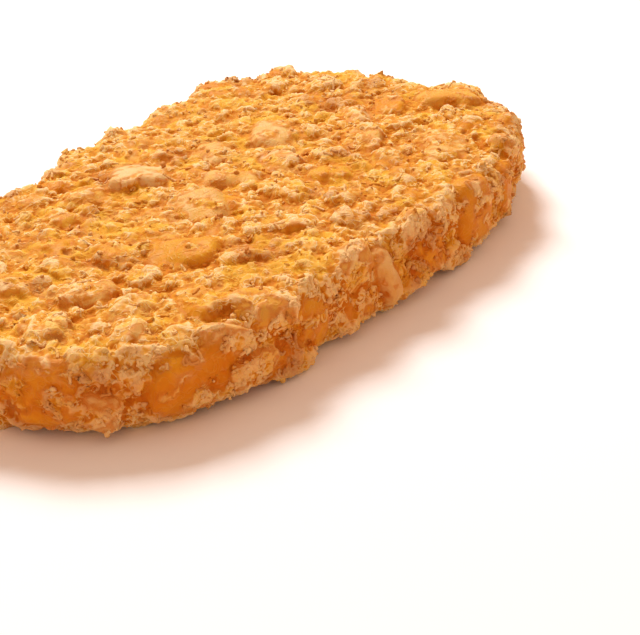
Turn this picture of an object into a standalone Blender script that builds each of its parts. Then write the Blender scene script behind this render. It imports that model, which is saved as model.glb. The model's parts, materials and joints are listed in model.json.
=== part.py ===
"""Hash brown patty: a pressed oval of diced potato in a fried crumb crust, lying flat, as one solid.

Metres, +Z up. The origin is on the resting plane under the middle of the patty, with +X along its length.
Big potato pieces that stand out of the crust, and the crags between them, are relief in the one solid.
"""

import math
import random
from itertools import product

import bmesh
import bpy
from mathutils import Euler, Matrix, Vector, noise

MM = 0.001

# Driving dimensions: the finished patty just fills this box.
LENGTH = 112 * MM
WIDTH = 67 * MM
THICKNESS = 13.6 * MM

# Plan outline: a superellipse a little inside the box, with the bulges and dips of a pressed patty.
PLAN_INSET = 1 * MM
SQUARENESS = 2.84
# Each lobe is (bearing from +X in degrees, half width in degrees, height).
LOBES = (
    (8, 12, -3.3 * MM),
    (42, 15, 3.6 * MM),
    (113, 13, -3.0 * MM),
    (178, 14, 2.0 * MM),
    (243, 16, -1.4 * MM),
    (307, 14, 1.1 * MM),
)

# The pressed body under the potato pieces.
BODY_INSET = 0.7 * MM  # how far the body's wall lies inside the outline
BODY_LOW = 0.5 * MM  # underside of the body above the resting plane
BODY_TOP = 12.2 * MM
EDGE_ROUND = 3.0 * MM
BODY_STEPS = 120  # corners of the plan outline before it is remeshed
BODY_VOXEL = 0.8 * MM

# The crust's relief: slow waves, packed crumbs with creases between them, and a fine grain.
WAVES = (14 * MM, 0.5 * MM)  # size, height
CRUMBS = (3.6 * MM, 1.3 * MM)
GRAIN = (1.9 * MM, 0.35 * MM)

# Potato pieces that stand out of the crust.
SEED = 27
DARTS = 2600
FACE_MARGIN = 6 * MM
FACE_SPACING = 7.2 * MM
SIDE_SPACING = 6.0 * MM
PIECE_LENGTH = (5.5 * MM, 9.5 * MM)
PIECE_WIDTH = (4.0 * MM, 6.8 * MM)
PIECE_DEPTH = (3.0 * MM, 4.4 * MM)
PIECE_PROUD = (-0.1 * MM, 0.55 * MM)  # how far a piece stands out of the crust's mean surface
PIECE_TILT = 13  # degrees
PIECE_FINENESS = 3  # subdivisions of the sphere a piece is made from
PIECE_SQUARENESS = 3.6
CORNER_WANDER = 0.3  # share of a piece's half size by which a corner strays
LUMPS = (3.2 * MM, 0.35 * MM)  # unevenness of a piece: size, height
CRUST_TOP = 12.3 * MM  # mean surface of the crust on the upper face
CRUST_LOW = 0.4 * MM
CRUST_SIDE = 0.6 * MM  # how far the crust's mean surface lies inside the outline at the side
SIDE_CLEAR = 0.6 * MM  # between a piece on the side and the planes of the faces

# The one solid after the union.
MELT_VOXEL = 0.45 * MM
TRIANGLES = 10700

# The largest pieces, each where it lies: on the upper face as (x, y, length, width, turn in degrees, proud),
TOP_PIECES = (
    (-3.6, 14.9, 10.5, 8.0, 38, 0.5),
    (20.0, 7.5, 11.0, 6.5, 40, 0.45),
    (9.0, 10.6, 8.0, 6.0, 60, 0.3),
    (2.2, 0.9, 9.5, 5.5, -55, 0.45),
    (-9.9, 0.2, 12.5, 9.0, -62, 0.6),
    (-22.3, -8.2, 11.0, 7.0, -70, 0.7),
    (-14.2, 16.0, 7.0, 5.5, 30, 0.35),
    (-29.9, 8.2, 7.0, 6.0, 20, 0.2),
    (46.0, -9.4, 12.0, 7.5, -50, 0.7),
    (38.5, -3.0, 7.0, 5.5, 35, 0.5),
    (23.8, -7.2, 9.0, 7.0, 30, 0.5),
    (28.0, -20.5, 12.5, 6.5, 28, 0.6),
    (10.6, -10.3, 8.0, 6.5, -60, 0.4),
    (-40.5, 4.4, 7.5, 6.0, 45, 0.7),
    (-38.0, -5.6, 8.5, 6.0, -50, 0.7),
    (-28.0, -26.6, 8.5, 6.0, -20, 0.6),
)
# and on the side as (bearing in degrees, height of its middle, length, height, lean in degrees, proud).
SIDE_PIECES = (
    (-100.0, 6.3, 3.2, 9.6, 14, 1.0),
    (-80.4, 6.2, 6.4, 8.4, 6, 0.5),
    (-62.2, 7.4, 9.5, 9.0, -4, 0.7),
    (-147.5, 6.8, 13.0, 8.6, 0, 0.45),
    (-166.2, 6.6, 8.0, 8.4, 5, 0.4),
    (-124.4, 5.8, 6.5, 8.0, -8, 0.45),
    (-47.0, 6.6, 7.5, 8.6, 3, 0.5),
    (-25.0, 6.4, 7.0, 8.0, -6, 0.45),
)


def clear_scene():
    for obj in list(bpy.data.objects):
        bpy.data.objects.remove(obj)


def outline_radius(bearing):
    """Distance from the middle to the plan outline, at a bearing in radians."""
    along = abs(math.cos(bearing)) / (LENGTH / 2 - PLAN_INSET)
    across = abs(math.sin(bearing)) / (WIDTH / 2 - PLAN_INSET)
    radius = (along**SQUARENESS + across**SQUARENESS) ** (-1 / SQUARENESS)
    for at, spread, height in LOBES:
        off = (math.degrees(bearing) - at + 180) % 360 - 180
        radius += height * math.exp(-((off / spread) ** 2))
    return radius


def outline_point(bearing, inset=0.0):
    radius = outline_radius(bearing) - inset
    return Vector((radius * math.cos(bearing), radius * math.sin(bearing), 0))


def outline_normal(bearing, step=0.01):
    """Outward normal of the plan outline."""
    along = outline_point(bearing + step) - outline_point(bearing - step)
    return Vector((along.y, -along.x, 0)).normalized()


def crust_height(point):
    """Relief of the crust at a point."""
    near, next_near = noise.voronoi(point / CRUMBS[0])[0][:2]
    height = CRUMBS[1] * (min(next_near - near, 0.7) - 0.35)
    height += WAVES[1] * noise.noise(point / WAVES[0])
    return height + GRAIN[1] * noise.noise(point / GRAIN[0])


def link(mesh, name, collection):
    obj = bpy.data.objects.new(name, mesh)
    collection.objects.link(obj)
    return obj


def mesh_from(bm, name):
    mesh = bpy.data.meshes.new(name)
    bm.to_mesh(mesh)
    bm.free()
    return mesh


def applied(obj):
    """Replaces an object's mesh by its evaluated one, and drops its modifiers."""
    graph = bpy.context.evaluated_depsgraph_get()
    mesh = bpy.data.meshes.new_from_object(obj.evaluated_get(graph))
    obj.modifiers.clear()
    obj.data = mesh
    return obj


def make_body(collection):
    """The pressed body: the outline as a disc with rounded edges, with the crust's relief pushed into it."""
    bm = bmesh.new()
    bmesh.ops.create_cone(
        bm, cap_ends=True, segments=BODY_STEPS, radius1=1, radius2=1, depth=BODY_TOP - BODY_LOW
    )
    for vert in bm.verts:
        height = vert.co.z + (BODY_TOP + BODY_LOW) / 2
        vert.co = outline_point(math.atan2(vert.co.y, vert.co.x), BODY_INSET)
        vert.co.z = height
    body = link(mesh_from(bm, "body"), "body", collection)

    bevel = body.modifiers.new("edges", "BEVEL")
    bevel.width = EDGE_ROUND
    bevel.segments = 3
    bevel.angle_limit = math.radians(50)
    remesh = body.modifiers.new("even_faces", "REMESH")
    remesh.mode = "VOXEL"
    remesh.voxel_size = BODY_VOXEL
    applied(body)

    for vert, normal in [(v, v.normal.copy()) for v in body.data.vertices]:
        vert.co += normal * crust_height(vert.co)
    return body


def make_piece(rng, size, place, collection):
    """A diced piece of potato: a block with soft edges, strayed corners and lumps. place is its matrix."""
    strays = {}
    for corner in product((-1, 1), repeat=3):
        strays[corner] = Vector(rng.uniform(-CORNER_WANDER, CORNER_WANDER) for _ in range(3))
    bm = bmesh.new()
    bmesh.ops.create_icosphere(bm, subdivisions=PIECE_FINENESS, radius=1)
    for vert in bm.verts:
        co = vert.co * sum(abs(a) ** PIECE_SQUARENESS for a in vert.co) ** (-1 / PIECE_SQUARENESS)
        for corner, stray in strays.items():
            co = co + stray * math.prod((1 + a * b) / 2 for a, b in zip(corner, vert.co, strict=True))
        co = place @ Vector(a * b / 2 for a, b in zip(co, size, strict=True))
        vert.co = co + noise.noise_vector(co / LUMPS[0]) * LUMPS[1]
    link(mesh_from(bm, "piece"), "piece", collection)


def tilt(rng):
    limit = math.radians(PIECE_TILT)
    return Euler((rng.uniform(-limit, limit), rng.uniform(-limit, limit), 0)).to_matrix().to_4x4()


def place_on_face(rng, x, y, turn, depth, proud, upper):
    """The matrix of a piece sunk in the upper or lower face, its outer side standing proud."""
    rise = CRUST_TOP + proud - depth / 2 if upper else CRUST_LOW - proud + depth / 2
    return Matrix.Translation((x, y, rise)) @ Matrix.Rotation(turn, 4, "Z") @ tilt(rng)


def place_on_side(rng, bearing, height, lean, depth, proud):
    """The matrix of a piece sunk in the side: its local X runs round the patty and its local Y up."""
    out = outline_normal(bearing)
    up = Vector((0, 0, 1))
    turned = Matrix((up.cross(out), up, out)).transposed().to_4x4()
    middle = outline_point(bearing, CRUST_SIDE) + out * (proud - depth / 2) + up * height
    return Matrix.Translation(middle) @ turned @ Matrix.Rotation(lean, 4, "Z") @ tilt(rng)


def named_pieces(rng, collection):
    """The largest pieces. It returns where they lie, so that the others keep clear."""
    taken = []
    for x, y, length, width, turn, proud in TOP_PIECES:
        depth = rng.uniform(*PIECE_DEPTH)
        place = place_on_face(rng, x * MM, y * MM, math.radians(turn), depth, proud * MM, True)
        make_piece(rng, (length * MM, width * MM, depth), place, collection)
        taken.append(place.translation)
    for bearing, height, length, tall, lean, proud in SIDE_PIECES:
        depth = rng.uniform(*PIECE_DEPTH)
        place = place_on_side(
            rng, math.radians(bearing), height * MM, math.radians(lean), depth, proud * MM
        )
        make_piece(rng, (length * MM, tall * MM, depth), place, collection)
        taken.append(place.translation)
    return taken


def far_from(point, taken, spacing):
    return all((point - other).length > spacing for other in taken)


def scattered_pieces(rng, taken, collection):
    """Smaller pieces by seeded darts on both faces and round the side, wherever there is room."""
    for upper in (True, False):
        for _ in range(DARTS):
            bearing = rng.uniform(-math.pi, math.pi)
            reach = math.sqrt(rng.random()) * (outline_radius(bearing) - FACE_MARGIN)
            x, y = reach * math.cos(bearing), reach * math.sin(bearing)
            if not far_from(Vector((x, y, CRUST_TOP if upper else 0)), taken, FACE_SPACING):
                continue
            depth = rng.uniform(*PIECE_DEPTH)
            turn = rng.uniform(0, math.pi)
            place = place_on_face(rng, x, y, turn, depth, rng.uniform(*PIECE_PROUD), upper)
            size = (rng.uniform(*PIECE_LENGTH), rng.uniform(*PIECE_WIDTH), depth)
            make_piece(rng, size, place, collection)
            taken.append(place.translation)
    for _ in range(DARTS):
        bearing = rng.uniform(-math.pi, math.pi)
        tall = rng.uniform(*PIECE_WIDTH)
        clear = SIDE_CLEAR + tall / 2
        height = rng.uniform(clear, THICKNESS - clear)
        if not far_from(outline_point(bearing) + Vector((0, 0, height)), taken, SIDE_SPACING):
            continue
        depth = rng.uniform(*PIECE_DEPTH)
        lean = math.radians(rng.uniform(-35, 35))
        place = place_on_side(rng, bearing, height, lean, depth, rng.uniform(*PIECE_PROUD))
        make_piece(rng, (rng.uniform(*PIECE_LENGTH), tall, depth), place, collection)
        taken.append(place.translation)


def fuse(body, pieces):
    """One union of the body and every piece, after which the pieces are removed."""
    union = body.modifiers.new("fuse_pieces", "BOOLEAN")
    union.operation = "UNION"
    union.operand_type = "COLLECTION"
    union.collection = pieces
    union.solver = "MANIFOLD"
    applied(body)
    for obj in list(pieces.objects):
        bpy.data.objects.remove(obj)
    bpy.data.collections.remove(pieces)


def even_out(body):
    """Melts the seams of the union together, then keeps as many faces as the shapes need."""
    melt = body.modifiers.new("melt_seams", "REMESH")
    melt.mode = "VOXEL"
    melt.voxel_size = MELT_VOXEL
    applied(body)
    reduce = body.modifiers.new("fewer_faces", "DECIMATE")
    reduce.ratio = TRIANGLES / (2 * len(body.data.polygons))
    reduce.use_collapse_triangulate = True
    applied(body)


def press_flat(body, cutters):
    """Cuts the underside off at the resting plane, where the patty was pressed."""
    bm = bmesh.new()
    bmesh.ops.create_cube(bm, size=LENGTH * 2)
    bmesh.ops.translate(bm, verts=bm.verts, vec=(0, 0, -LENGTH))
    block = link(mesh_from(bm, "below_the_plane"), "below_the_plane", cutters)
    block.hide_render = True
    block.display_type = "WIRE"
    cut = body.modifiers.new("resting_plane", "BOOLEAN")
    cut.operation = "DIFFERENCE"
    cut.object = block
    cut.solver = "MANIFOLD"
    applied(body)
    bpy.data.objects.remove(block)


def keep_largest(body):
    """Drops loose scraps: everything but the shell with the most vertices."""
    bm = bmesh.new()
    bm.from_mesh(body.data)
    left = set(bm.verts)
    shells = []
    while left:
        shell, edge_of_shell = set(), [left.pop()]
        while edge_of_shell:
            vert = edge_of_shell.pop()
            shell.add(vert)
            for edge in vert.link_edges:
                other = edge.other_vert(vert)
                if other in left:
                    left.remove(other)
                    edge_of_shell.append(other)
        shells.append(shell)
    shells.sort(key=len)
    for shell in shells[:-1]:
        bmesh.ops.delete(bm, geom=list(shell), context="VERTS")
    bm.to_mesh(body.data)
    bm.free()


def fit_to_size(body):
    """Brings the patty to its driving dimensions, centred over the origin with its underside at Z 0."""
    low = Vector(map(min, zip(*(v.co for v in body.data.vertices), strict=True)))
    high = Vector(map(max, zip(*(v.co for v in body.data.vertices), strict=True)))
    middle = Vector(((low.x + high.x) / 2, (low.y + high.y) / 2, low.z))
    size = zip((LENGTH, WIDTH, THICKNESS), high - low, strict=True)
    scale = Matrix.Diagonal([wanted / found for wanted, found in size] + [1])
    body.data.transform(scale @ Matrix.Translation(-middle))


def crust_material():
    material = bpy.data.materials.new("fried_crust")
    material.use_nodes = True
    shader = material.node_tree.nodes["Principled BSDF"]
    shader.inputs["Base Color"].default_value = (0.72, 0.36, 0.085, 1)
    shader.inputs["Roughness"].default_value = 0.45
    shader.inputs["Metallic"].default_value = 0.0
    return material


def main():
    clear_scene()
    parts = bpy.data.collections.new("hash_brown")
    pieces = bpy.data.collections.new("potato_pieces")
    cutters = bpy.data.collections.new("cutters")
    for collection in (parts, pieces, cutters):
        bpy.context.scene.collection.children.link(collection)

    rng = random.Random(SEED)
    noise.seed_set(SEED)  # noise_vector would start from the clock
    patty = make_body(parts)
    taken = named_pieces(rng, pieces)
    scattered_pieces(rng, taken, pieces)
    fuse(patty, pieces)
    even_out(patty)
    press_flat(patty, cutters)
    keep_largest(patty)
    fit_to_size(patty)
    patty.name = "hash_brown_patty"
    patty.data.materials.clear()
    patty.data.materials.append(crust_material())


main()
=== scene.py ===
"""The looks of a hash brown patty: potato pieces in a fried crust, with crumbs and curls of batter.

Metres, in the solid's own frame. Colours are linear red, green and blue.
"""

import json
import math
import random
from itertools import product

import bmesh
import bpy
import numpy as np
from mathutils import Euler, Matrix, Vector, noise
from mathutils.bvhtree import BVHTree

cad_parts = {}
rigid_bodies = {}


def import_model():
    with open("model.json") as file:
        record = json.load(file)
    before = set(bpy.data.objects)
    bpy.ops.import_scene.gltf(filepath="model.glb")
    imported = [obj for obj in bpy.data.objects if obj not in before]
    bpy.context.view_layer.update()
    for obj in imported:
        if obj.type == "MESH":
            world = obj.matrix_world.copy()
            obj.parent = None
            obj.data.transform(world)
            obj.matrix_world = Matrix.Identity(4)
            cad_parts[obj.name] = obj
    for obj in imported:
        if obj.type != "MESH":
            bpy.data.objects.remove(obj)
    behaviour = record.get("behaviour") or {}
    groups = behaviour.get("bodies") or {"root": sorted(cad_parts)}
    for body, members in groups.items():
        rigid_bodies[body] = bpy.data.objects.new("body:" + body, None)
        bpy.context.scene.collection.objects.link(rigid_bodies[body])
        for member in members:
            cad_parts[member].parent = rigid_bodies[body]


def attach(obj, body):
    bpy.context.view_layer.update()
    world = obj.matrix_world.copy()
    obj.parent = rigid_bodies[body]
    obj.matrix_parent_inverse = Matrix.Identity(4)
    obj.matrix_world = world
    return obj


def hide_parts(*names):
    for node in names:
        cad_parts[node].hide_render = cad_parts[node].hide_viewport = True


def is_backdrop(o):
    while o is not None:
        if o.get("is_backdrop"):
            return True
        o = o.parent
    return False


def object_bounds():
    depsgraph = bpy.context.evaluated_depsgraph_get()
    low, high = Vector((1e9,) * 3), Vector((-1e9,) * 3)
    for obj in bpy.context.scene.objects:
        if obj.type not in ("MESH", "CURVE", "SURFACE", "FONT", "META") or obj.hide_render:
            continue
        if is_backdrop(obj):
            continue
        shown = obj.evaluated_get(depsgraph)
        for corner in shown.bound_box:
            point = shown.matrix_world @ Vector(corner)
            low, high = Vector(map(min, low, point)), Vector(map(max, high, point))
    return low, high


MM = 0.001

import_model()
LOW, HIGH = (Vector(corner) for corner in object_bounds())
LENGTH, WIDTH, THICKNESS = HIGH - LOW

# Plan outline: a superellipse a little inside the box, with the bulges and dips of a pressed patty.
PLAN_INSET = 1 * MM
SQUARENESS = 2.84
# Each lobe is (bearing from +X in degrees, half width in degrees, height).
LOBES = (
    (8, 12, -3.3 * MM),
    (42, 15, 3.6 * MM),
    (113, 13, -3.0 * MM),
    (178, 14, 2.0 * MM),
    (243, 16, -1.4 * MM),
    (307, 14, 1.1 * MM),
)

# The pressed body under the potato pieces.
BODY_INSET = 0.7 * MM
BODY_LOW = 0.5 * MM
BODY_TOP = 12.2 * MM
EDGE_ROUND = 3.0 * MM
EDGE_STEPS = 5
EDGE_ANGLE = 50  # degrees past which an edge is rounded
BODY_STEPS = 120  # corners of the plan outline before it is remeshed
BODY_VOXEL = 0.5 * MM

# The crust's relief: slow waves, packed crumbs with creases between them, and a fine grain.
WAVES = (14 * MM, 0.5 * MM)  # size, height
CRUMBS = (3.6 * MM, 1.3 * MM)
CRUMB_FLAT = 0.7  # where a packed crumb's slope ends, in shares of its size
GRAIN = (1.9 * MM, 0.35 * MM)

# Potato pieces that stand out of the crust.
SEED = 27
DARTS = 2600
FACE_MARGIN = 6 * MM
FACE_SPACING = 7.2 * MM
SIDE_SPACING = 6.0 * MM
PIECE_LENGTH = (5.5 * MM, 9.5 * MM)
PIECE_WIDTH = (4.0 * MM, 6.8 * MM)
PIECE_DEPTH = (3.0 * MM, 4.4 * MM)
PIECE_PROUD = (-0.1 * MM, 0.55 * MM)  # how far a piece stands out of the crust's mean surface
PIECE_TILT = 13  # degrees
SIDE_LEAN = 35  # degrees by which a piece on the side leans at most
PIECE_FINENESS = 4  # subdivisions of the sphere a piece is made from
PIECE_SQUARENESS = 3.6
CORNER_WANDER = 0.3  # share of a piece's half size by which a corner strays
LUMPS = (3.2 * MM, 0.35 * MM)  # unevenness of a piece: size, height
CRUST_TOP = 12.3 * MM  # mean surface of the crust on the upper face
CRUST_LOW = 0.4 * MM
CRUST_SIDE = 0.6 * MM  # how far the crust's mean surface lies inside the outline at the side
SIDE_CLEAR = 0.6 * MM  # between a piece on the side and the planes of the faces

# The largest pieces on the upper face, in millimetres: x, y, length, width, turn in degrees,
# how proud, tone from amber 0 to cream 1, and bareness from crusted 0 to bare 1.
TOP_PIECES = (
    (-3.6, 14.9, 10.5, 8.0, 38, 0.5, 0.95, 0.85),
    (20.0, 7.5, 11.0, 6.5, 40, 0.45, 0.8, 0.8),
    (9.0, 10.6, 8.0, 6.0, 60, 0.3, 0.75, 0.7),
    (2.2, 0.9, 9.5, 5.5, -55, 0.45, 0.65, 0.65),
    (-9.9, 0.2, 12.5, 9.0, -62, 0.6, 0.7, 0.8),
    (-22.3, -8.2, 11.0, 7.0, -70, 0.7, 0.3, 0.9),
    (-14.2, 16.0, 7.0, 5.5, 30, 0.35, 0.6, 0.6),
    (-29.9, 8.2, 7.0, 6.0, 20, 0.2, 0.3, 0.7),
    (46.0, -9.4, 12.0, 7.5, -50, 0.7, 0.5, 1.0),
    (38.5, -3.0, 7.0, 5.5, 35, 0.5, 0.15, 0.8),
    (23.8, -7.2, 9.0, 7.0, 30, 0.5, 0.7, 0.55),
    (28.0, -20.5, 12.5, 6.5, 28, 0.6, 0.8, 0.6),
    (10.6, -10.3, 8.0, 6.5, -60, 0.4, 0.4, 0.65),
    (-40.5, 4.4, 7.5, 6.0, 45, 0.7, 0.5, 0.4),
    (-38.0, -5.6, 8.5, 6.0, -50, 0.7, 0.65, 0.55),
    (-28.0, -26.6, 8.5, 6.0, -20, 0.6, 0.5, 0.5),
)
# The largest pieces on the side: bearing in degrees, height of the middle, length, tallness,
# lean in degrees, how proud, tone and bareness.
SIDE_PIECES = (
    (-100.0, 6.3, 3.2, 9.6, 14, 1.0, 0.9, 1.0),
    (-80.4, 6.2, 6.4, 8.4, 6, 0.5, 0.25, 0.75),
    (-62.2, 7.4, 9.5, 9.0, -4, 0.7, 0.3, 0.75),
    (-147.5, 6.8, 13.0, 8.6, 0, 0.45, 0.15, 0.76),
    (-166.2, 6.6, 8.0, 8.4, 5, 0.4, 0.2, 0.62),
    (-124.4, 5.8, 6.5, 8.0, -8, 0.45, 0.35, 0.65),
    (-47.0, 6.6, 7.5, 8.6, 3, 0.5, 0.3, 0.75),
    (-25.0, 6.4, 7.0, 8.0, -6, 0.45, 0.2, 0.75),
)

# The tone and bareness of all other pieces.
SMALL_TONE = (0.1, 1.0)
SMALL_BARENESS = (0.1, 0.55)

# The one skin after the union.
MELT_VOXEL = 0.4 * MM
SKIN_TRIANGLES = 190000

# Where crust covers a piece of potato.
CREEP = (0.0, 0.5 * MM)  # how far from a piece's face the crust begins, and is whole
BARE_PATCH = 2.6 * MM  # size of the patches in which crust covers a piece
BARE_FRAY = 2.7  # how many times finer the fray of a patch is
BARE_LEVEL = 0.66  # bareness of a piece that is half covered
BARE_WAVES = 0.75  # how far the patches lift and lower a piece's bareness
BARE_EDGE = 0.14  # how soft the edge of a patch is

# Rounds of smoothing that the finer and the wider relief are measured against, and rounds after
# which the normals tell the patty's side from its faces.
NEAR_ROUNDS = 6
WIDE_ROUNDS = 50
FACING_ROUNDS = 40

# Where crumbs and curls of batter lie.
CLUMP = 5 * MM  # size of the places with more crumbs or more curls
FOOT = (0.2 * MM, 1.2 * MM)  # heights where they begin, and are as many as above
RIM = (0.1, 0.5)  # how steep the skin is where the rim begins, and is whole
FACE_SHARE = 0.22  # how many of them the faces have, as a share of the rim's
CRUMB_ROOM = (-0.2, 0.5)  # noise of the clumps where crumbs begin, and are most
CURL_ROOM = (-0.3, 0.3)
CURL_LEAD = 0.1  # what curls have before crumbs on an even skin
RIM_CRUMBS = 0.35  # what the rim adds to the noise
RIM_CURLS = 0.2
BARE_LIMIT = 0.6  # how bare the potato is where they end
BARE_SOFT = 0.5  # how softly they end there

# How light a crumb or curl is, and how much painted side shade, an amber darkening, it takes, at least
# and at most.
CRUMB_LIGHT = (0.02, 0.34)
CURL_LIGHT = (0.08, 0.34)
AMBER = (0.1, 0.5)
SIDE_SHADE_EXTRA = 0.5  # what the patty's side adds

# The curls.
CURL_SWEEPS = (70, 120, 190, 290)  # degrees
CURL_STEPS = 8  # points along a curl
CURL_SIDES = 5
CURL_STRAY = 2.2 * MM  # how far its points stray at most
CURL_SINK = 0.1  # share of its thickness by which a curl lies in the skin
CURL_TAPER = 0.75  # share of its thickness that a curl loses towards its ends
CURL_GIRTH = (0.5, 1.4)  # thickness of the thinnest and the thickest, in mean ones
CURL_SQUASH = ((0.8, 0.45, 1.0), (1.5, 1.0, 1.0))  # least and most stretch of an arc

# Waves a metre of the noise in each thing.
POTATO_WAVES = 620.0
CRUMB_WAVES = 1400.0
CURL_WAVES = 650.0

# Colours of the crust from its creases to its crests, and of the potato from amber to cream.
# The crust's colours are partly real browning, partly painted shade in the creases and painted
# highlight on the crests.
CRUST_COLOURS = (
    (0.0, 0.60, 0.20, 0.012),
    (0.3, 0.70, 0.32, 0.034),
    (0.55, 0.76, 0.39, 0.070),
    (0.8, 0.82, 0.51, 0.17),
    (1.0, 0.88, 0.64, 0.32),
)
POTATO_COLOURS = (
    (0.0, 0.66, 0.21, 0.004),
    (0.4, 0.69, 0.35, 0.030),
    (0.75, 0.75, 0.50, 0.18),
    (1.0, 0.80, 0.58, 0.29),
)
# Patches of colour on each: waves a metre of their noise, the noise where they begin and are whole,
# and their colour. The crust's have their strength first.
CRUST_PATCHES = (
    (0.35, 330.0, 0.52, 0.66, (0.76, 0.49, 0.17, 1)),  # pale
    (0.5, 95.0, 0.52, 0.66, (0.46, 0.125, 0.016, 1)),  # brown
    (0.5, 210.0, 0.50, 0.64, (0.84, 0.49, 0.04, 1)),  # gold
)
POTATO_PATCHES = (
    (170.0, 0.45, 0.62, (0.84, 0.43, 0.03, 1)),  # glowing
    (420.0, 0.44, 0.60, (0.68, 0.26, 0.016, 1)),  # toasted
)
CREST_MIDDLE = 0.45  # height on the crust that contrast leaves as it is
BATTER_THREAD = (0.82, 0.50, 0.13, 1)
TOASTED_EDGE = (0.62, 0.20, 0.01, 1)
# Painted shade on the patty's side: an amber darkening multiplied in by how much the surface is side.
PAINTED_SIDE_SHADE = (1.0, 0.64, 0.30, 1)

# The camera, looking at the near rim.
TARGET = Vector((-17.64, -30.04, 6.25)) * MM
AZIMUTH, ELEVATION, ROLL = -52.8, 28.1, -3.7  # degrees
DISTANCE = 195 * MM
LENS = 84.02  # focal length in millimetres
SENSOR = 36  # width in millimetres

# The studio: a soft key light from behind, a warm sky and a pale floor.
KEY_PLACE = (0.40, 0.52, 0.68)
KEY_WATTS = 9.6
KEY_SIZE = 0.34
KEY_COLOUR = (0.93, 0.97, 1)
SKY_COLOUR = (1, 0.68, 0.50, 1)
SKY_STRENGTH = 0.7
FLOOR_REACH = 1.5


# ---- the same patty as the solid, in finer faces ----


def outline_radius(bearing):
    """Distance from the middle to the plan outline, at a bearing in radians."""
    along = abs(math.cos(bearing)) / (LENGTH / 2 - PLAN_INSET)
    across = abs(math.sin(bearing)) / (WIDTH / 2 - PLAN_INSET)
    radius = (along**SQUARENESS + across**SQUARENESS) ** (-1 / SQUARENESS)
    for at, spread, height in LOBES:
        off = (math.degrees(bearing) - at + 180) % 360 - 180
        radius += height * math.exp(-((off / spread) ** 2))
    return radius


def outline_point(bearing, inset=0.0):
    radius = outline_radius(bearing) - inset
    return Vector((radius * math.cos(bearing), radius * math.sin(bearing), 0))


def outline_normal(bearing, step=0.01):
    """Outward normal of the plan outline."""
    along = outline_point(bearing + step) - outline_point(bearing - step)
    return Vector((along.y, -along.x, 0)).normalized()


def crust_height(point):
    """Relief of the crust at a point."""
    near, next_near = noise.voronoi(point / CRUMBS[0])[0][:2]
    height = CRUMBS[1] * (min(next_near - near, CRUMB_FLAT) - CRUMB_FLAT / 2)
    height += WAVES[1] * noise.noise(point / WAVES[0])
    return height + GRAIN[1] * noise.noise(point / GRAIN[0])


def link(mesh, name, collection=None):
    obj = bpy.data.objects.new(name, mesh)
    (collection or bpy.context.scene.collection).objects.link(obj)
    return obj


def mesh_from(bm, name):
    mesh = bpy.data.meshes.new(name)
    bm.to_mesh(mesh)
    bm.free()
    return mesh


def applied(obj):
    """Replaces an object's mesh by its evaluated one, and drops its modifiers."""
    graph = bpy.context.evaluated_depsgraph_get()
    mesh = bpy.data.meshes.new_from_object(obj.evaluated_get(graph))
    obj.modifiers.clear()
    obj.data = mesh
    return obj


def make_body():
    """The pressed body: the outline as a disc with rounded edges and the crust's relief."""
    bm = bmesh.new()
    bmesh.ops.create_cone(
        bm, cap_ends=True, segments=BODY_STEPS, radius1=1, radius2=1, depth=BODY_TOP - BODY_LOW
    )
    for vert in bm.verts:
        height = vert.co.z + (BODY_TOP + BODY_LOW) / 2
        vert.co = outline_point(math.atan2(vert.co.y, vert.co.x), BODY_INSET)
        vert.co.z = height
    body = link(mesh_from(bm, "patty"), "patty")
    bevel = body.modifiers.new("edges", "BEVEL")
    bevel.width = EDGE_ROUND
    bevel.segments = EDGE_STEPS
    bevel.angle_limit = math.radians(EDGE_ANGLE)
    remesh = body.modifiers.new("even_faces", "REMESH")
    remesh.mode = "VOXEL"
    remesh.voxel_size = BODY_VOXEL
    applied(body)
    for vert, normal in [(v, v.normal.copy()) for v in body.data.vertices]:
        vert.co += normal * crust_height(vert.co)
    return body


def make_piece(rng, size, place, collection):
    """A diced piece of potato: a block with soft edges, strayed corners and lumps.
    place is its matrix."""
    strays = {}
    for corner in product((-1, 1), repeat=3):
        strays[corner] = Vector(rng.uniform(-CORNER_WANDER, CORNER_WANDER) for _ in range(3))
    bm = bmesh.new()
    bmesh.ops.create_icosphere(bm, subdivisions=PIECE_FINENESS, radius=1)
    for vert in bm.verts:
        co = vert.co * sum(abs(a) ** PIECE_SQUARENESS for a in vert.co) ** (-1 / PIECE_SQUARENESS)
        for corner, stray in strays.items():
            co = co + stray * math.prod((1 + a * b) / 2 for a, b in zip(corner, vert.co, strict=True))
        co = place @ Vector(a * b / 2 for a, b in zip(co, size, strict=True))
        vert.co = co + noise.noise_vector(co / LUMPS[0]) * LUMPS[1]
    link(mesh_from(bm, "piece"), "piece", collection)


def tilt(rng):
    limit = math.radians(PIECE_TILT)
    return Euler((rng.uniform(-limit, limit), rng.uniform(-limit, limit), 0)).to_matrix().to_4x4()


def place_on_face(rng, x, y, turn, depth, proud, upper):
    """The matrix of a piece sunk in the upper or lower face, its outer side standing proud."""
    rise = CRUST_TOP + proud - depth / 2 if upper else CRUST_LOW - proud + depth / 2
    return Matrix.Translation((x, y, rise)) @ Matrix.Rotation(turn, 4, "Z") @ tilt(rng)


def place_on_side(rng, bearing, height, lean, depth, proud):
    """The matrix of a piece sunk in the side: its local X runs round the patty and its local Y up."""
    out = outline_normal(bearing)
    up = Vector((0, 0, 1))
    turned = Matrix((up.cross(out), up, out)).transposed().to_4x4()
    middle = outline_point(bearing, CRUST_SIDE) + out * (proud - depth / 2) + up * height
    return Matrix.Translation(middle) @ turned @ Matrix.Rotation(lean, 4, "Z") @ tilt(rng)


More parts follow.
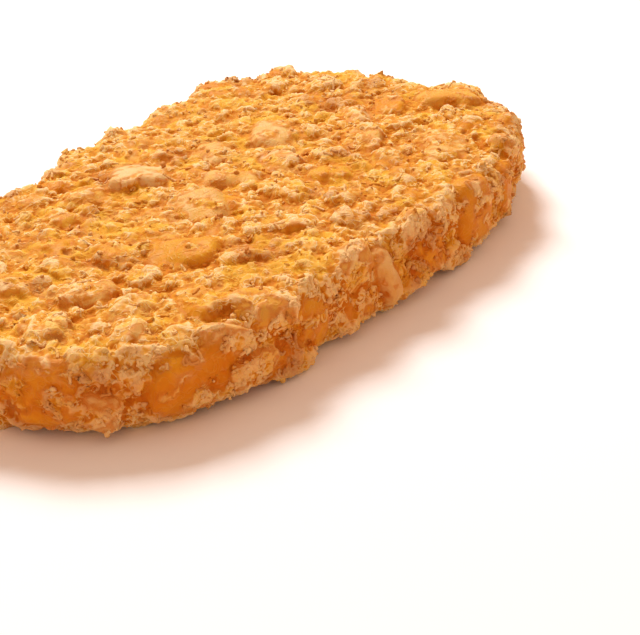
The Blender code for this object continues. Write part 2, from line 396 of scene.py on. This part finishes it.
def named_pieces(rng, collection):
    """The largest pieces. It returns where they lie, so that the others keep clear, and their looks."""
    taken, looks = [], []
    for x, y, length, width, turn, proud, *look in TOP_PIECES:
        depth = rng.uniform(*PIECE_DEPTH)
        place = place_on_face(rng, x * MM, y * MM, math.radians(turn), depth, proud * MM, True)
        make_piece(rng, (length * MM, width * MM, depth), place, collection)
        taken.append(place.translation)
        looks.append(look)
    for bearing, height, length, tall, lean, proud, *look in SIDE_PIECES:
        depth = rng.uniform(*PIECE_DEPTH)
        place = place_on_side(
            rng, math.radians(bearing), height * MM, math.radians(lean), depth, proud * MM
        )
        make_piece(rng, (length * MM, tall * MM, depth), place, collection)
        taken.append(place.translation)
        looks.append(look)
    return taken, looks


def far_from(point, taken, spacing):
    return all((point - other).length > spacing for other in taken)


def scattered_pieces(rng, taken, collection):
    """Smaller pieces by seeded darts on both faces and round the side, wherever there is room."""
    for upper in (True, False):
        for _ in range(DARTS):
            bearing = rng.uniform(-math.pi, math.pi)
            reach = math.sqrt(rng.random()) * (outline_radius(bearing) - FACE_MARGIN)
            x, y = reach * math.cos(bearing), reach * math.sin(bearing)
            if not far_from(Vector((x, y, CRUST_TOP if upper else 0)), taken, FACE_SPACING):
                continue
            depth = rng.uniform(*PIECE_DEPTH)
            turn = rng.uniform(0, math.pi)
            place = place_on_face(rng, x, y, turn, depth, rng.uniform(*PIECE_PROUD), upper)
            size = (rng.uniform(*PIECE_LENGTH), rng.uniform(*PIECE_WIDTH), depth)
            make_piece(rng, size, place, collection)
            taken.append(place.translation)
    for _ in range(DARTS):
        bearing = rng.uniform(-math.pi, math.pi)
        tall = rng.uniform(*PIECE_WIDTH)
        clear = SIDE_CLEAR + tall / 2
        height = rng.uniform(clear, THICKNESS - clear)
        if not far_from(outline_point(bearing) + Vector((0, 0, height)), taken, SIDE_SPACING):
            continue
        depth = rng.uniform(*PIECE_DEPTH)
        lean = math.radians(rng.uniform(-SIDE_LEAN, SIDE_LEAN))
        place = place_on_side(rng, bearing, height, lean, depth, rng.uniform(*PIECE_PROUD))
        make_piece(rng, (rng.uniform(*PIECE_LENGTH), tall, depth), place, collection)
        taken.append(place.translation)


def tree_of(collection):
    """A search tree over the faces of every piece, and the number of faces in one piece."""
    points, faces = [], []
    for obj in collection.objects:
        first = len(points)
        points += [v.co.copy() for v in obj.data.vertices]
        faces += [[first + i for i in face.vertices] for face in obj.data.polygons]
    return BVHTree.FromPolygons(points, faces), len(faces) // len(collection.objects)


def fuse(body, pieces):
    """One union of the body and every piece, melted into one skin."""
    union = body.modifiers.new("fuse_pieces", "BOOLEAN")
    union.operation = "UNION"
    union.operand_type = "COLLECTION"
    union.collection = pieces
    union.solver = "MANIFOLD"
    melt = body.modifiers.new("melt_seams", "REMESH")
    melt.mode = "VOXEL"
    melt.voxel_size = MELT_VOXEL
    applied(body)
    for obj in list(pieces.objects):
        bpy.data.objects.remove(obj)
    bpy.data.collections.remove(pieces)


# ---- numbers on the skin's vertices ----


def positions(mesh):
    flat = np.empty(3 * len(mesh.vertices), np.float32)
    mesh.vertices.foreach_get("co", flat)
    return flat.reshape(-1, 3).astype(float)


def normals(mesh):
    flat = np.empty(3 * len(mesh.vertices), np.float32)
    mesh.vertices.foreach_get("normal", flat)
    return flat.reshape(-1, 3).astype(float)


def store(mesh, name, values):
    """Stores one number a vertex under that name."""
    stored = mesh.attributes.get(name) or mesh.attributes.new(name, "FLOAT", "POINT")
    stored.data.foreach_set("value", np.asarray(values, np.float32))


def smooth_step(low, high, value):
    share = np.clip((value - low) / (high - low), 0, 1)
    return share * share * (3 - 2 * share)


def relaxed(points, edges, rounds, kept=0.3):
    """Each point moved towards the mean of its neighbours, over and over. kept is its own share."""
    count = np.bincount(edges.ravel(), minlength=len(points))[:, None]
    for _ in range(rounds):
        total = np.zeros_like(points)
        for axis in range(3):
            total[:, axis] += np.bincount(edges[:, 0], points[edges[:, 1], axis], len(points))
            total[:, axis] += np.bincount(edges[:, 1], points[edges[:, 0], axis], len(points))
        points = kept * points + (1 - kept) * total / count
    return points


def mark_potato(mesh, tree, faces_each, looks):
    """Stores where bare potato shows ("potato") and the tone of the piece there ("tone")."""
    away, tone, bare = [], [], []
    for vert in mesh.vertices:
        _, _, face, distance = tree.find_nearest(vert.co)
        look = looks[face // faces_each]
        away.append(distance)
        tone.append(look[0])
        at = vert.co / BARE_PATCH
        waves = noise.noise(at) + 0.5 * noise.noise(at * BARE_FRAY)
        bare.append(look[1] - BARE_LEVEL + BARE_WAVES * waves)
    near = 1 - smooth_step(*CREEP, np.array(away))
    store(mesh, "potato", near * smooth_step(-BARE_EDGE, BARE_EDGE, np.array(bare)))
    store(mesh, "tone", tone)


def mark_relief(mesh):
    """Stores how far each vertex stands out of its near ("ridge") and wider ("swell") surroundings,
    and how much the surface there is the patty's side ("wall")."""
    points, out = positions(mesh), normals(mesh)
    flat = np.empty(2 * len(mesh.edges), np.int32)
    mesh.edges.foreach_get("vertices", flat)
    edges = flat.reshape(-1, 2)
    near = relaxed(points, edges, NEAR_ROUNDS)
    wide = relaxed(near, edges, WIDE_ROUNDS)
    store(mesh, "ridge", np.einsum("ij,ij->i", points - near, out) / MM)
    store(mesh, "swell", np.einsum("ij,ij->i", near - wide, out) / MM)
    store(mesh, "wall", 1 - np.abs(relaxed(out, edges, FACING_ROUNDS)[:, 2]))


def read(mesh, name):
    values = np.empty(len(mesh.vertices), np.float32)
    mesh.attributes[name].data.foreach_get("value", values)
    return values


def mark_rooms(mesh):
    """Stores how much room there is for crumbs and for curls: none on bare potato or at the foot."""
    crust = smooth_step(0, BARE_SOFT, BARE_LIMIT - read(mesh, "potato"))
    crust = crust * smooth_step(*FOOT, positions(mesh)[:, 2])
    clumps = np.array([noise.noise(v.co / CLUMP) for v in mesh.vertices])
    rim = smooth_step(*RIM, read(mesh, "wall"))
    crust = crust * (FACE_SHARE + (1 - FACE_SHARE) * rim)
    crumbs = smooth_step(*CRUMB_ROOM, clumps + RIM_CRUMBS * rim)
    curls = smooth_step(*CURL_ROOM, CURL_LEAD - clumps + RIM_CURLS * rim)
    store(mesh, "room_crumbs", crust * crumbs)
    store(mesh, "room_curls", crust * curls)


def fit_to_solid(body):
    """Brings the patty to the solid's box."""
    points = positions(body.data)
    low, high = Vector(points.min(0)), Vector(points.max(0))
    middle = Vector(((low.x + high.x) / 2, (low.y + high.y) / 2, low.z))
    size = zip((LENGTH, WIDTH, THICKNESS), high - low, strict=True)
    scale = Matrix.Diagonal([wanted / found for wanted, found in size] + [1])
    body.data.transform(scale @ Matrix.Translation(-middle))


def flatten_foot(obj):
    """Flattens what reaches below the resting plane onto it."""
    for vert in obj.data.vertices:
        vert.co.z = max(vert.co.z, 0)


# ---- node trees ----


def node(tree, kind, inputs=None, **props):
    """Adds a node, sets its properties, and links or sets its inputs, given by name or number."""
    made = tree.nodes.new(kind)
    for key, value in props.items():
        setattr(made, key, value)
    for key, value in (inputs or {}).items():
        if isinstance(value, bpy.types.NodeSocket):
            tree.links.new(value, made.inputs[key])
        else:
            made.inputs[key].default_value = value
    return made


def math_node(tree, operation, *values):
    inputs = dict(enumerate(values))
    return node(tree, "ShaderNodeMath", inputs, operation=operation).outputs[0]


def scaled(tree, vector, factor):
    inputs = {0: vector, "Scale": factor}
    return node(tree, "ShaderNodeVectorMath", inputs, operation="SCALE").outputs[0]


def attribute(tree, name):
    """A number stored on the mesh, in a geometry tree."""
    return node(tree, "GeometryNodeInputNamedAttribute", {"Name": name}).outputs["Attribute"]


def new_group(name, kind, inputs, outputs):
    """A node group with named sockets. inputs are (name, type, default), outputs (name, type)."""
    tree = bpy.data.node_groups.new(name, kind)
    for label, socket, default in inputs:
        made = tree.interface.new_socket(label, in_out="INPUT", socket_type=socket)
        if default is not None:
            made.default_value = default
    for label, socket in outputs:
        tree.interface.new_socket(label, in_out="OUTPUT", socket_type=socket)
    return tree, tree.nodes.new("NodeGroupInput").outputs, tree.nodes.new("NodeGroupOutput")


def use_group(obj, tree, **values):
    """Puts a geometry group on an object as a modifier. values are its inputs, by name."""
    modifier = obj.modifiers.new(tree.name, "NODES")
    modifier.node_group = tree
    for item in tree.interface.items_tree:
        if item.in_out == "INPUT" and item.name.lower() in values:
            modifier[item.identifier] = values[item.name.lower()]


def moved_by(tree, shape, offset):
    inputs = {"Geometry": shape, "Offset": offset}
    return node(tree, "GeometryNodeSetPosition", inputs).outputs[0]


def moved_to(tree, shape, place):
    inputs = {"Geometry": shape, "Position": place}
    return node(tree, "GeometryNodeSetPosition", inputs).outputs[0]


def stray_of(tree, waves):
    """A vector that strays round 0 with the place, by that many waves a metre."""
    stray = node(tree, "ShaderNodeTexNoise", {"Scale": waves, "Detail": 1.0}).outputs["Color"]
    inputs = {0: stray, 1: (0.5, 0.5, 0.5)}
    return node(tree, "ShaderNodeVectorMath", inputs, operation="SUBTRACT").outputs[0]


def finished(tree, given, shape, result):
    """Ends a tree: everything real, smooth and painted."""
    solid = node(tree, "GeometryNodeRealizeInstances", {"Geometry": shape}).outputs[0]
    smooth = node(tree, "GeometryNodeSetShadeSmooth", {"Geometry": solid}).outputs[0]
    painted = node(
        tree, "GeometryNodeSetMaterial", {"Geometry": smooth, "Material": given["Material"]}
    )
    tree.links.new(painted.outputs[0], result.inputs[0])
    return tree


def relief_group():
    """Ridges of two sizes and blisters on the crust, and a faint unevenness on the potato."""
    tree, given, result = new_group(
        "fine_relief",
        "GeometryNodeTree",
        (
            ("Skin", "NodeSocketGeometry", None),
            ("Material", "NodeSocketMaterial", None),
            ("Ridge Size", "NodeSocketFloat", 3.2 * MM),
            ("Ridge Height", "NodeSocketFloat", 0.55 * MM),
            ("Lip Size", "NodeSocketFloat", 1.5 * MM),
            ("Lip Height", "NodeSocketFloat", 0.36 * MM),
            ("Blister Size", "NodeSocketFloat", 1.2 * MM),
            ("Blister Height", "NodeSocketFloat", 0.22 * MM),
            ("Potato Height", "NodeSocketFloat", 0.6 * MM),
        ),
        (("Skin", "NodeSocketGeometry"),),
    )

    def scale_of(size):
        return math_node(tree, "DIVIDE", 1.0, given[size])

    potato = attribute(tree, "potato")
    crust = math_node(tree, "SUBTRACT", 1.0, potato)

    def ridges(size, sharpness):
        """Crests where the noise passes through its middle, from -0.4 between them to 0.4."""
        looks = {"Scale": scale_of(size), "Detail": 1.0, "Roughness": 0.5, "Distortion": 0.5}
        waves = node(tree, "ShaderNodeTexNoise", looks).outputs[0]
        fold = math_node(tree, "ABSOLUTE", math_node(tree, "MULTIPLY_ADD", waves, 2.0, -1.0))
        crest = math_node(tree, "MULTIPLY_ADD", fold, -sharpness, 0.4)
        return math_node(tree, "MAXIMUM", crest, -0.4)

    cells = node(
        tree, "ShaderNodeTexVoronoi", {"Scale": scale_of("Blister Size")}, feature="SMOOTH_F1"
    ).outputs["Distance"]
    blister = math_node(tree, "SUBTRACT", 0.45, cells)
    height = math_node(tree, "MULTIPLY", ridges("Ridge Size", 2.4), given["Ridge Height"])
    lip = ridges("Lip Size", 2.8)
    height = math_node(tree, "MULTIPLY_ADD", lip, given["Lip Height"], height)
    height = math_node(tree, "MULTIPLY_ADD", blister, given["Blister Height"], height)
    height = math_node(tree, "MULTIPLY", height, crust)
    soft = node(tree, "ShaderNodeTexNoise", {"Scale": POTATO_WAVES, "Detail": 2.0}).outputs[0]
    soft = math_node(tree, "SUBTRACT", soft, 0.5)
    soft = math_node(tree, "MULTIPLY", soft, given["Potato Height"])
    height = math_node(tree, "MULTIPLY_ADD", soft, potato, height)
    outward = node(tree, "GeometryNodeInputNormal").outputs[0]
    moved = moved_by(tree, given["Skin"], scaled(tree, outward, height))
    return finished(tree, given, moved, result)


def scatter_on(tree, given, room, lean=0.0):
    """Points spread over the skin by the density and the room there, with their rotations, which
    face outward and lean by up to that many degrees."""
    density = math_node(tree, "MULTIPLY", attribute(tree, room), given["Density"])
    spread = node(
        tree,
        "GeometryNodeDistributePointsOnFaces",
        {"Mesh": given["Skin"], "Density": density, "Seed": given["Seed"]},
    )
    lean = math.radians(lean)
    spin = random_value(tree, given, 11, (-lean, -lean, 0), (lean, lean, math.tau), "FLOAT_VECTOR")
    turned = node(
        tree,
        "FunctionNodeRotateRotation",
        {"Rotation": spread.outputs["Rotation"], "Rotate By": spin},
        rotation_space="LOCAL",
    )
    return spread.outputs["Points"], turned.outputs[0]


def random_value(tree, given, salt, low, high, kind="FLOAT"):
    """A random value for each point. salt makes two of them differ."""
    place = ("FLOAT_VECTOR", "FLOAT", "INT").index(kind)
    seed = math_node(tree, "ADD", given["Seed"], float(salt))
    inputs = {2 * place: low, 2 * place + 1: high, "Seed": seed}
    return node(tree, "FunctionNodeRandomValue", inputs, data_type=kind).outputs[place]


SCATTER_INPUTS = (
    ("Skin", "NodeSocketGeometry", None),
    ("Density", "NodeSocketFloat", 1000.0),
    ("Seed", "NodeSocketInt", 0),
    ("Smallest", "NodeSocketFloat", 0.2 * MM),
    ("Largest", "NodeSocketFloat", 0.5 * MM),
    ("Material", "NodeSocketMaterial", None),
)


def marked(tree, instances, **values):
    """The instances with each value stored under its name."""
    for name, value in values.items():
        instances = node(
            tree,
            "GeometryNodeStoreNamedAttribute",
            {"Geometry": instances, "Name": name, "Value": value},
            data_type="FLOAT",
            domain="INSTANCE",
        ).outputs[0]
    return instances


def side_shade_share(tree, given):
    """How much painted side shade, an amber darkening, each crumb or curl takes: a random share, more
    on the patty's side.
    """
    own = random_value(tree, given, 8, *AMBER)
    return math_node(tree, "MULTIPLY_ADD", attribute(tree, "wall"), SIDE_SHADE_EXTRA, own)


def crumb_group(name, sides, least, most, lean, knock):
    """Crumbs: small balls with that many sides. Each is stretched by least to most, leans by up to
    that many degrees, and is knocked out of shape by that share of its size."""
    tree, given, result = new_group(
        name, "GeometryNodeTree", SCATTER_INPUTS, (("Crumbs", "NodeSocketGeometry"),)
    )
    points, turned = scatter_on(tree, given, "room_crumbs", lean)
    rings = {"Segments": sides, "Rings": sides - 2, "Radius": 1.0}
    ball = node(tree, "GeometryNodeMeshUVSphere", rings)
    shape = random_value(tree, given, 1, least, most, "FLOAT_VECTOR")
    share = math_node(tree, "POWER", random_value(tree, given, 2, 0.0, 1.0), 2.0)
    reach = math_node(tree, "SUBTRACT", given["Largest"], given["Smallest"])
    radius = math_node(tree, "MULTIPLY_ADD", share, reach, given["Smallest"])
    placed = node(
        tree,
        "GeometryNodeInstanceOnPoints",
        {
            "Points": points,
            "Instance": ball.outputs["Mesh"],
            "Rotation": turned,
            "Scale": scaled(tree, shape, radius),
        },
    ).outputs[0]
    light = random_value(tree, given, 3, *CRUMB_LIGHT)
    placed = marked(tree, placed, ridge=light, girth=radius, wall=side_shade_share(tree, given))
    solid = node(tree, "GeometryNodeRealizeInstances", {"Geometry": placed}).outputs[0]
    knock = math_node(tree, "MULTIPLY", attribute(tree, "girth"), knock)
    knocks = scaled(tree, stray_of(tree, CRUMB_WAVES), knock)
    return finished(tree, given, moved_by(tree, solid, knocks), result)


def eased(tree):
    """Positions with the corners taken out of a line."""
    place = node(tree, "GeometryNodeInputPosition").outputs[0]
    return node(
        tree,
        "GeometryNodeBlurAttribute",
        {"Value": place, "Iterations": 2, "Weight": 0.8},
        data_type="FLOAT_VECTOR",
    ).outputs[0]


def curl_group():
    """Curls: thin lips of batter, as arcs that lie along the skin and follow its relief."""
    tree, given, result = new_group(
        "batter_curls",
        "GeometryNodeTree",
        (*SCATTER_INPUTS, ("Thickness", "NodeSocketFloat", 0.22 * MM)),
        (("Curls", "NodeSocketGeometry"),),
    )
    points, turned = scatter_on(tree, given, "room_curls")
    forms = node(tree, "GeometryNodeJoinGeometry")
    for sweep in CURL_SWEEPS:
        arc = node(
            tree,
            "GeometryNodeCurveArc",
            {"Resolution": CURL_STEPS, "Radius": 1.0, "Sweep Angle": math.radians(sweep)},
            mode="RADIUS",
        )
        form = node(tree, "GeometryNodeGeometryToInstance", {"Geometry": arc.outputs[0]})
        tree.links.new(form.outputs[0], forms.inputs[0])
    radius = random_value(tree, given, 1, 0.0, 1.0)
    reach = math_node(tree, "SUBTRACT", given["Largest"], given["Smallest"])
    radius = math_node(tree, "MULTIPLY_ADD", radius, reach, given["Smallest"])
    squash = random_value(tree, given, 4, *CURL_SQUASH, "FLOAT_VECTOR")
    placed = node(
        tree,
        "GeometryNodeInstanceOnPoints",
        {
            "Points": points,
            "Instance": forms.outputs[0],
            "Pick Instance": True,
            "Instance Index": random_value(tree, given, 5, 0, len(CURL_SWEEPS) - 1, "INT"),
            "Rotation": turned,
            "Scale": scaled(tree, squash, radius),
        },
    ).outputs[0]
    light = random_value(tree, given, 6, *CURL_LIGHT)
    girth = random_value(tree, given, 7, *CURL_GIRTH)
    placed = marked(tree, placed, ridge=light, girth=girth, wall=side_shade_share(tree, given))
    lines = node(tree, "GeometryNodeRealizeInstances", {"Geometry": placed}).outputs[0]
    lines = moved_by(tree, lines, scaled(tree, stray_of(tree, CURL_WAVES), CURL_STRAY))
    nearest = node(
        tree, "GeometryNodeProximity", {0: given["Skin"]}, target_element="FACES"
    ).outputs["Position"]
    outward = node(
        tree,
        "GeometryNodeSampleNearestSurface",
        {"Mesh": given["Skin"], "Value": node(tree, "GeometryNodeInputNormal").outputs[0]},
        data_type="FLOAT_VECTOR",
    ).outputs["Value"]
    girth = attribute(tree, "girth")
    thick = math_node(tree, "MULTIPLY", girth, given["Thickness"])
    sunk = scaled(tree, outward, math_node(tree, "MULTIPLY", thick, -CURL_SINK))
    rest = node(tree, "ShaderNodeVectorMath", {0: nearest, 1: sunk}, operation="ADD").outputs[0]
    lines = moved_to(tree, lines, rest)
    lines = moved_to(tree, lines, eased(tree))
    along = node(tree, "GeometryNodeSplineParameter").outputs["Factor"]
    end = math_node(tree, "ABSOLUTE", math_node(tree, "MULTIPLY_ADD", along, 2.0, -1.0))
    end = math_node(tree, "MULTIPLY", math_node(tree, "POWER", end, 3.0), CURL_TAPER)
    taper = math_node(tree, "SUBTRACT", 1.0, end)
    lines = node(
        tree,
        "GeometryNodeSetCurveRadius",
        {"Curve": lines, "Radius": math_node(tree, "MULTIPLY", girth, taper)},
    ).outputs[0]
    ring = node(
        tree,
        "GeometryNodeCurvePrimitiveCircle",
        {"Resolution": CURL_SIDES, "Radius": given["Thickness"]},
    ).outputs[0]
    tubes = node(
        tree,
        "GeometryNodeCurveToMesh",
        {"Curve": lines, "Profile Curve": ring, "Fill Caps": True},
    ).outputs[0]
    return finished(tree, given, tubes, result)


# ---- assembly ----


def make_patty(material):
    """The patty in finer faces than the solid's, with what its finish depends on stored on it."""
    pieces = bpy.data.collections.new("potato_pieces")
    bpy.context.scene.collection.children.link(pieces)
    rng, look_rng = random.Random(SEED), random.Random(SEED + 1)
    noise.seed_set(SEED)  # noise_vector would start from the clock
    patty = make_body()
    taken, looks = named_pieces(rng, pieces)
    scattered_pieces(rng, taken, pieces)
    while len(looks) < len(pieces.objects):
        looks.append((look_rng.uniform(*SMALL_TONE), look_rng.uniform(*SMALL_BARENESS)))
    tree, faces_each = tree_of(pieces)
    fuse(patty, pieces)
    mark_potato(patty.data, tree, faces_each, looks)
    use_group(patty, relief_group(), material=material)
    reduce = patty.modifiers.new("fewer_faces", "DECIMATE")
    reduce.ratio = SKIN_TRIANGLES / (2 * len(patty.data.polygons))
    reduce.use_collapse_triangulate = True
    applied(patty)
    flatten_foot(patty)
    fit_to_solid(patty)
    mark_relief(patty.data)
    mark_rooms(patty.data)
    return patty


def grown_on(skin, name, tree, **values):
    """A piece that the geometry group grows on the skin."""
    obj = link(skin.data, name)
    use_group(obj, tree, **values)
    return applied(obj)


def make_trimmings(patty, material):
    """The crumbs and curls, each kind as one piece. density is how many fit on a square metre."""
    fine = crumb_group(
        "fine_crumbs", sides=6, least=(0.6, 0.6, 0.6), most=(1.5, 1.1, 1.1), lean=90, knock=2.2
    )
    coarse = crumb_group(
        "coarse_crumbs", sides=8, least=(0.6, 0.6, 0.45), most=(1.3, 1.0, 0.9), lean=30, knock=2.6
    )
    grown = []
    for name, tree, density, smallest, largest, seed in (
        ("fine_crumbs", fine, 9.0e5, 0.16 * MM, 0.4 * MM, 3),
        ("coarse_crumbs", coarse, 1.6e5, 0.3 * MM, 0.7 * MM, 4),
        ("curls", curl_group(), 3.0e5, 0.35 * MM, 1.0 * MM, 5),
    ):
        grown.append(
            grown_on(
                patty,
                name,
                tree,
                density=density,
                smallest=smallest,
                largest=largest,
                seed=seed,
                material=material,
            )
        )
        flatten_foot(grown[-1])
    return grown


def ramp(tree, factor, *stops):
    """A colour ramp. stops is (position, linear red, green, blue), from low to high."""
    made = node(tree, "ShaderNodeValToRGB", {0: factor})
    elements = made.color_ramp.elements
    while len(elements) < len(stops):
        elements.new(0.5)
    for element, (position, *colour) in zip(elements, stops, strict=True):
        element.position = position
        element.color = (*colour, 1)
    return made.outputs[0]


def mix_colour(tree, factor, first, second, **props):
    inputs = {0: factor, 6: first, 7: second}
    return node(tree, "ShaderNodeMix", inputs, data_type="RGBA", **props).outputs[2]


def patched(tree, place, base, strength, waves, low, high, colour):
    """The base colour with soft patches of another: none where the noise is under low, and whole
    where it is over high."""
    looks = {"Vector": place, "Scale": waves, "Detail": 3.0}
    limits = {0: node(tree, "ShaderNodeTexNoise", looks).outputs[0], 1: low, 2: high}
    mask = node(tree, "ShaderNodeMapRange", limits, interpolation_type="SMOOTHSTEP").outputs[0]
    return mix_colour(tree, math_node(tree, "MULTIPLY", mask, strength), base, colour)


def lace_group():
    """Thin curled lines of batter: 1 on a line, 0 between lines, and the height of both with grain."""
    tree, given, result = new_group(
        "batter_lace",
        "ShaderNodeTree",
        (
            ("Scale", "NodeSocketFloat", 620.0),
            ("Width", "NodeSocketFloat", 0.16),
            ("Grain", "NodeSocketFloat", 1500.0),
        ),
        (("Line", "NodeSocketFloat"), ("Height", "NodeSocketFloat")),
    )
    place = node(tree, "ShaderNodeTexCoord").outputs["Object"]
    looks = {"Vector": place, "Scale": given["Scale"], "Detail": 0.5, "Distortion": 1.3}
    waves = node(tree, "ShaderNodeTexNoise", looks).outputs[0]
    fold = math_node(tree, "ABSOLUTE", math_node(tree, "MULTIPLY_ADD", waves, 2.0, -1.0))
    limits = {0: fold, 1: 0.0, 2: given["Width"], 3: 1.0, 4: 0.0}
    line = node(tree, "ShaderNodeMapRange", limits, interpolation_type="SMOOTHSTEP").outputs[0]
    tree.links.new(line, result.inputs["Line"])
    grain = {"Vector": place, "Scale": given["Grain"], "Detail": 2.0, "Distortion": 0.4}
    grain = node(tree, "ShaderNodeTexNoise", grain).outputs[0]
    tree.links.new(math_node(tree, "MULTIPLY_ADD", line, 0.6, grain), result.inputs["Height"])
    return tree


def fry_and_shade_colours():
    """Colours of the crust by how far it stands out, browning and painted shade in creases and painted
    highlight on crests, and of the potato by its tone.
    """
    tree, given, result = new_group(
        "fry_and_shade_colours",
        "ShaderNodeTree",
        (
            ("Height", "NodeSocketFloat", 0.5),
            ("Potato", "NodeSocketFloat", 0.0),
            ("Tone", "NodeSocketFloat", 0.5),
            ("Wall", "NodeSocketFloat", 0.0),
            ("Line", "NodeSocketFloat", 0.0),
        ),
        (("Colour", "NodeSocketColor"), ("Roughness", "NodeSocketFloat")),
    )
    place = node(tree, "ShaderNodeTexCoord").outputs["Object"]
    # Painted shade and highlight over real browning: darker in creases, paler on crests, with more
    # contrast on the side, and the side darker.
    contrast = math_node(tree, "MULTIPLY_ADD", given["Wall"], 2.2, 0.9)
    depth = math_node(tree, "SUBTRACT", given["Height"], CREST_MIDDLE)
    depth = math_node(tree, "MULTIPLY", depth, contrast)
    depth = math_node(tree, "MULTIPLY_ADD", given["Wall"], -0.22, depth)
    crust = ramp(tree, math_node(tree, "ADD", depth, CREST_MIDDLE), *CRUST_COLOURS)
    for patch in CRUST_PATCHES:
        crust = patched(tree, place, crust, *patch)
    potato = ramp(tree, given["Tone"], *POTATO_COLOURS)
    strength = math_node(tree, "MULTIPLY_ADD", given["Tone"], -0.5, 0.65)
    for patch in POTATO_PATCHES:
        potato = patched(tree, place, potato, strength, *patch)
    thread = math_node(tree, "MULTIPLY", given["Line"], 0.18)
    potato = mix_colour(tree, thread, potato, BATTER_THREAD)
    colour = mix_colour(tree, given["Potato"], crust, potato)
    edge = math_node(tree, "SUBTRACT", 1.0, given["Potato"])
    edge = math_node(tree, "MULTIPLY", math_node(tree, "MULTIPLY", edge, given["Potato"]), 2.6)
    colour = mix_colour(tree, edge, colour, TOASTED_EDGE)
    # Painted shade: the side darkened towards amber.
    side_shade = math_node(tree, "MULTIPLY", given["Wall"], 0.75)
    colour = mix_colour(tree, side_shade, colour, PAINTED_SIDE_SHADE, blend_type="MULTIPLY")
    tree.links.new(colour, result.inputs["Colour"])
    gloss = math_node(tree, "MULTIPLY_ADD", given["Potato"], -0.25, 0.65)
    tree.links.new(gloss, result.inputs["Roughness"])
    return tree


def crust_material(name, colours, lace, glow):
    """A material from the groups of colours and of lines. glow is its share of subsurface light."""
    material = bpy.data.materials.new(name)
    material.use_nodes = True
    tree = material.node_tree
    shader = tree.nodes["Principled BSDF"]
    marks = {}
    for mark in ("ridge", "swell", "potato", "tone", "wall"):
        marks[mark] = node(tree, "ShaderNodeAttribute", attribute_name=mark).outputs["Fac"]
    batter = node(tree, "ShaderNodeGroup", node_tree=lace).outputs
    # How far the crust stands out, which its colours turn into browning and painted shade in creases
    # and painted highlight on crests.
    height = math_node(tree, "MULTIPLY_ADD", marks["swell"], 0.6, -0.05)
    height = math_node(tree, "MULTIPLY_ADD", marks["ridge"], 2.0, height)
    height = math_node(tree, "MULTIPLY_ADD", batter["Line"], 0.1, height)
    height = math_node(tree, "MULTIPLY_ADD", batter["Height"], 0.7, height)
    fried = node(tree, "ShaderNodeGroup", node_tree=colours)
    for socket, value in (
        ("Height", height),
        ("Potato", marks["potato"]),
        ("Tone", marks["tone"]),
        ("Wall", marks["wall"]),
        ("Line", batter["Line"]),
    ):
        tree.links.new(value, fried.inputs[socket])
    tree.links.new(fried.outputs["Colour"], shader.inputs["Base Color"])
    tree.links.new(fried.outputs["Roughness"], shader.inputs["Roughness"])
    rough = math_node(tree, "MULTIPLY_ADD", marks["potato"], -0.45, 1.0)
    rough = math_node(tree, "MULTIPLY", batter["Height"], rough)
    bump = {"Height": rough, "Strength": 0.55, "Distance": 0.25 * MM}
    bump = node(tree, "ShaderNodeBump", bump).outputs[0]
    tree.links.new(bump, shader.inputs["Normal"])
    shader.inputs["Specular IOR Level"].default_value = 0.05
    shader.inputs["Specular Tint"].default_value = (1, 0.86, 0.55, 1)
    shader.inputs["Subsurface Weight"].default_value = glow
    shader.inputs["Subsurface Radius"].default_value = (1.0, 0.6, 0.3)
    shader.inputs["Subsurface Scale"].default_value = 0.8 * MM
    return material


def aim(obj, place, target):
    obj.location = place
    obj.rotation_euler = (Vector(target) - Vector(place)).to_track_quat("-Z", "Y").to_euler()


def set_camera():
    azimuth, elevation, roll = (math.radians(a) for a in (AZIMUTH, ELEVATION, ROLL))
    back = Vector(
        (
            math.sin(azimuth) * math.cos(elevation),
            -math.cos(azimuth) * math.cos(elevation),
            math.sin(elevation),
        )
    )
    right = Vector((math.cos(azimuth), math.sin(azimuth), 0))
    up = back.cross(right)
    across = math.cos(roll) * right + math.sin(roll) * up
    upright = math.cos(roll) * up - math.sin(roll) * right
    place = Matrix((across, upright, back)).transposed().to_4x4()
    place.translation = TARGET + back * DISTANCE
    camera = bpy.data.cameras.new("camera")
    camera.lens = LENS
    camera.sensor_width = SENSOR
    camera.clip_start = 1 * MM
    eye = link(camera, "camera")
    eye.matrix_world = place
    bpy.context.scene.camera = eye


def set_lights():
    world = bpy.data.worlds.new("studio")
    world.use_nodes = True
    sky = world.node_tree.nodes["Background"].inputs
    sky["Color"].default_value = SKY_COLOUR
    sky["Strength"].default_value = SKY_STRENGTH
    bpy.context.scene.world = world
    key = bpy.data.lights.new("key", "AREA")
    key.energy = KEY_WATTS
    key.size = KEY_SIZE
    key.color = KEY_COLOUR
    aim(link(key, "key"), KEY_PLACE, (0, 0, 0))
    bpy.context.scene.view_settings.view_transform = "Standard"


def lay_floor():
    bm = bmesh.new()
    bmesh.ops.create_grid(bm, x_segments=1, y_segments=1, size=FLOOR_REACH)
    floor = link(mesh_from(bm, "floor"), "floor")
    material = bpy.data.materials.new("white_paper")
    material.use_nodes = True
    shader = material.node_tree.nodes["Principled BSDF"]
    shader.inputs["Base Color"].default_value = (1, 1, 1, 1)
    shader.inputs["Roughness"].default_value = 0.8
    shader.inputs["Specular IOR Level"].default_value = 0.1
    floor.data.materials.append(material)
    floor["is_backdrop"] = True


def main():
    colours, lace = fry_and_shade_colours(), lace_group()
    patty = make_patty(crust_material("fried_crust", colours, lace, 0.4))
    crumbs = crust_material("fried_crumbs", colours, lace, 0.0)
    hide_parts("hash_brown_patty")
    for piece in [patty] + make_trimmings(patty, crumbs):
        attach(piece, "root")
    set_camera()
    set_lights()
    lay_floor()


main()
